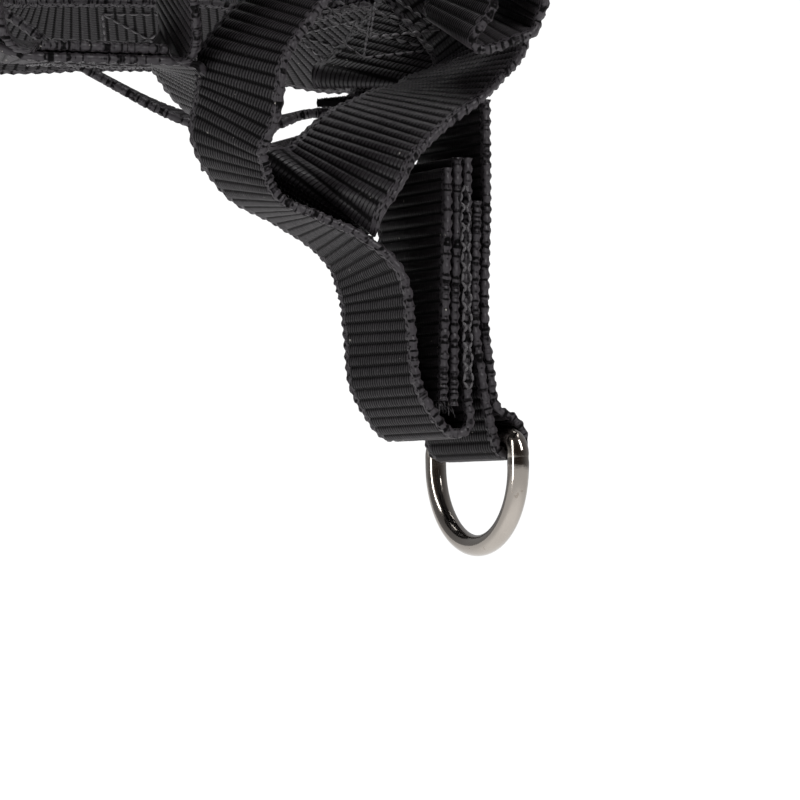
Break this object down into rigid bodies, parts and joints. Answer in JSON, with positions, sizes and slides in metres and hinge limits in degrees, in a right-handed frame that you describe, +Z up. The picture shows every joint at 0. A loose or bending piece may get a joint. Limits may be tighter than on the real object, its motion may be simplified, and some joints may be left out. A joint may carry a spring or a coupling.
{
  "type": "hay net",
  "caption": "Hanging slow-feed hay net of black webbing rings sewn face to face into an open-mesh bag, with a sewn tail and D-ring below and hanger straps with a bolt snap above",
  "frame": {"origin": "the inner top of the snap's hook, where the hook bears on the ring or rope that holds the net up, straight above the middle of mass", "axes": "+Z is up and is the object's longest extent. +X points from the snap's shank to its bolt. The tail and the D-ring hang on the +X, -Y side of the bag"},
  "size_m": [0.2922, 0.2868, 0.646],
  "materials": {
    "black_webbing": "matte",
    "nickel_plate": "polished",
    "spring_steel": "satin"
  },
  "bodies": {
    "snap": {"snap_body": "nickel_plate", "snap_spring": "spring_steel"},
    "bolt": {"snap_bolt": "nickel_plate"},
    "eye": {"snap_eye": "nickel_plate"},
    "net": {"net_ring_1": "black_webbing", "net_ring_2": "black_webbing", "net_ring_3": "black_webbing", "net_ring_4": "black_webbing", "net_ring_5": "black_webbing", "net_ring_6": "black_webbing", "net_ring_7": "black_webbing", "base_strap": "black_webbing", "base_tie": "black_webbing", "tail_layer_1": "black_webbing", "tail_layer_2": "black_webbing", "ring_tab": "black_webbing", "mouth_band": "black_webbing", "hanger_strap_1": "black_webbing", "hanger_strap_2": "black_webbing", "hanger_strap_3": "black_webbing", "hanger_strap_4": "black_webbing", "top_tab": "black_webbing"},
    "ring": {"d_ring": "nickel_plate"}
  },
  "joints": [
    {"name": "bolt_slide", "type": "slide", "parent": "snap", "child": "bolt", "axis": [0, 0, -1], "range_m": [0, 0.007], "stiffness_N_per_m": 250, "springref_m": -0.008, "deforming": ["snap_spring"]},
    {"name": "eye_swivel", "type": "hinge", "parent": "snap", "child": "eye", "pos_m": [0, 0, -0.0555], "axis": [0, 0, 1], "continuous": true},
    {"name": "net_swing", "type": "hinge", "parent": "eye", "child": "net", "pos_m": [0, 0, -0.067], "axis": [0.7071, -0.7071, 0], "range_deg": [-50, 50]},
    {"name": "ring_swing", "type": "hinge", "parent": "net", "child": "ring", "pos_m": [0.0617, -0.0427, -0.618], "axis": [0.4997, -0.8655, 0.0349], "range_deg": [-65, 100]}
  ]
}
